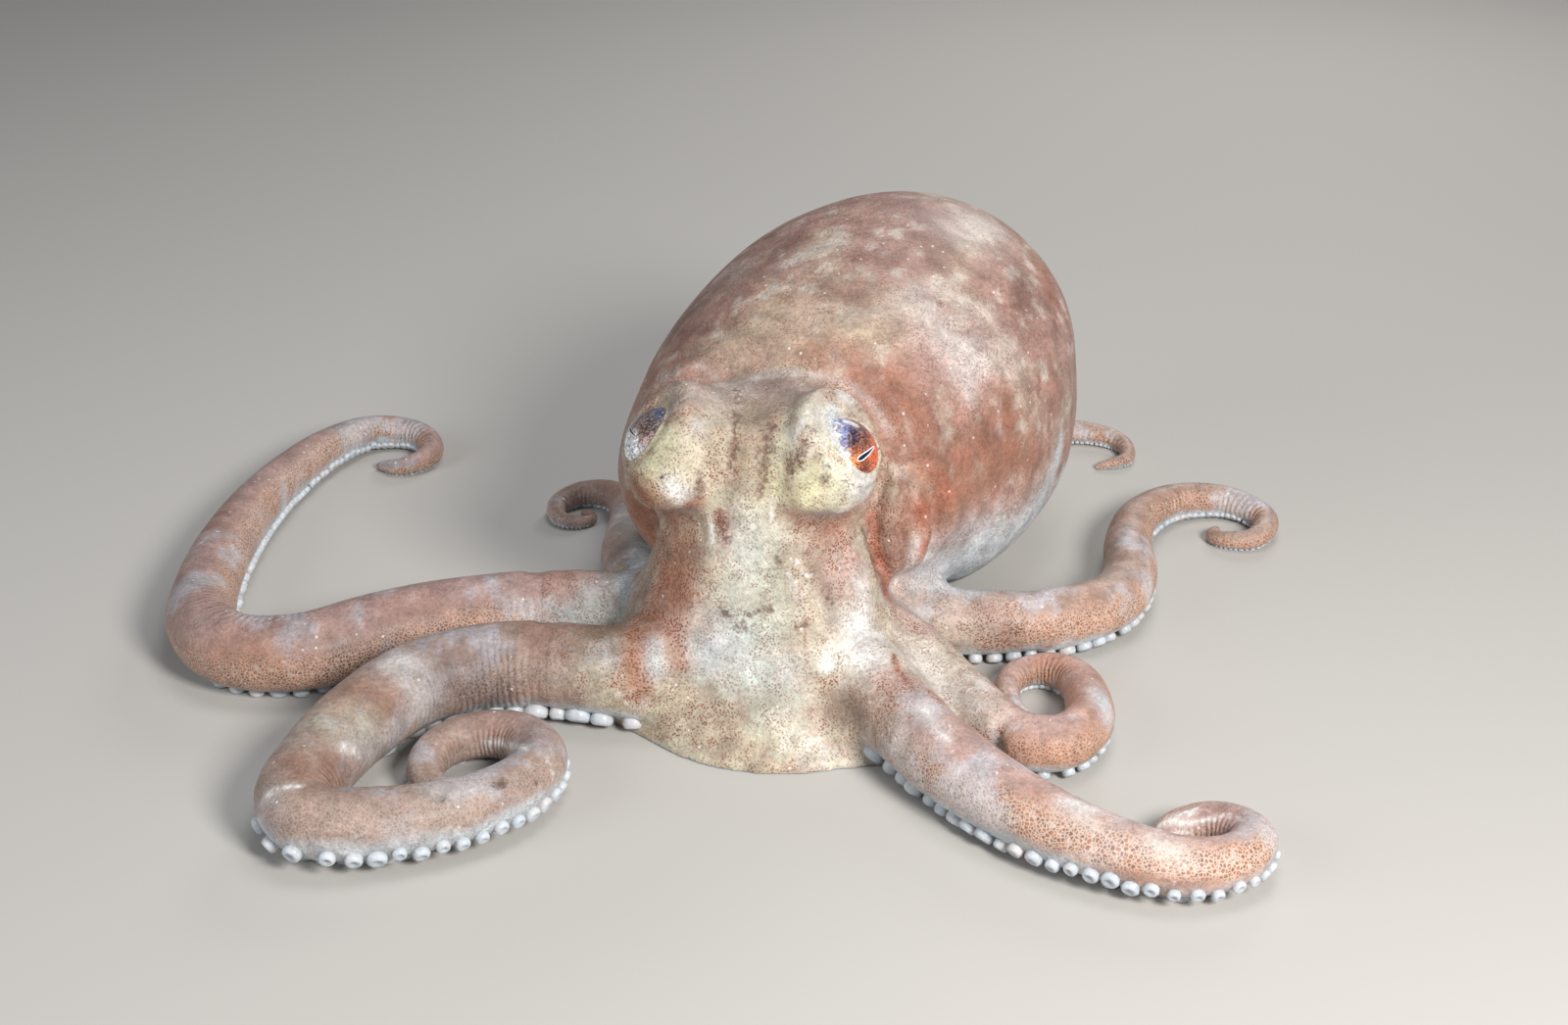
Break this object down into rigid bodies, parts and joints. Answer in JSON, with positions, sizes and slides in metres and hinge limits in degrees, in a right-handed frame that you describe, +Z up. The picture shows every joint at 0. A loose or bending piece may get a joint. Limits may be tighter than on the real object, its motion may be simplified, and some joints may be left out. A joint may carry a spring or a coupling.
{
  "type": "southern octopus",
  "caption": "Life-size still model of a southern octopus resting on a flat floor, arms spread and curled, mantle raised behind the head.",
  "frame": {"origin": "middle of the whole footprint, on the floor", "axes": "+Z up from the floor, the animal faces -Y with its head turned a little to -X, +X is the animal's left"},
  "size_m": [0.175, 0.1522, 0.0578],
  "materials": {
    "skin": "wet soft skin: rust and pink mottled with cream, a fine brown stipple on the head and an orange net on the arms, bluish white beneath",
    "eye": "wet gloss, red-brown with a dark slit"
  },
  "bodies": {
    "root": {"arm_left_1_1": "skin", "arm_left_1_2": "skin", "arm_left_1_3": "skin", "arm_left_1_4": "skin", "arm_left_1_5": "skin", "arm_left_2_1": "skin", "arm_left_2_2": "skin", "arm_left_2_3": "skin", "arm_left_2_4": "skin", "arm_left_2_5": "skin", "arm_left_3_1": "skin", "arm_left_3_2": "skin", "arm_left_3_3": "skin", "arm_left_3_4": "skin", "arm_left_3_5": "skin", "arm_left_3_6": "skin", "arm_left_4_1": "skin", "arm_left_4_2": "skin", "arm_left_4_3": "skin", "arm_left_4_4": "skin", "arm_right_1_1": "skin", "arm_right_1_2": "skin", "arm_right_1_3": "skin", "arm_right_1_4": "skin", "arm_right_1_5": "skin", "arm_right_1_6": "skin", "arm_right_1_7": "skin", "arm_right_1_8": "skin", "arm_right_2_1": "skin", "arm_right_2_2": "skin", "arm_right_2_3": "skin", "arm_right_2_4": "skin", "arm_right_2_5": "skin", "arm_right_2_6": "skin", "arm_right_2_7": "skin", "arm_right_3_1": "skin", "arm_right_3_2": "skin", "arm_right_3_3": "skin", "arm_right_3_4": "skin", "arm_right_3_5": "skin", "arm_right_4_1": "skin", "arm_right_4_2": "skin", "arm_right_4_3": "skin", "arm_right_4_4": "skin", "crown": "skin", "eye_left": "eye", "eye_right": "eye", "funnel": "skin", "head": "skin", "mantle": "skin"}
  },
  "joints": []
}
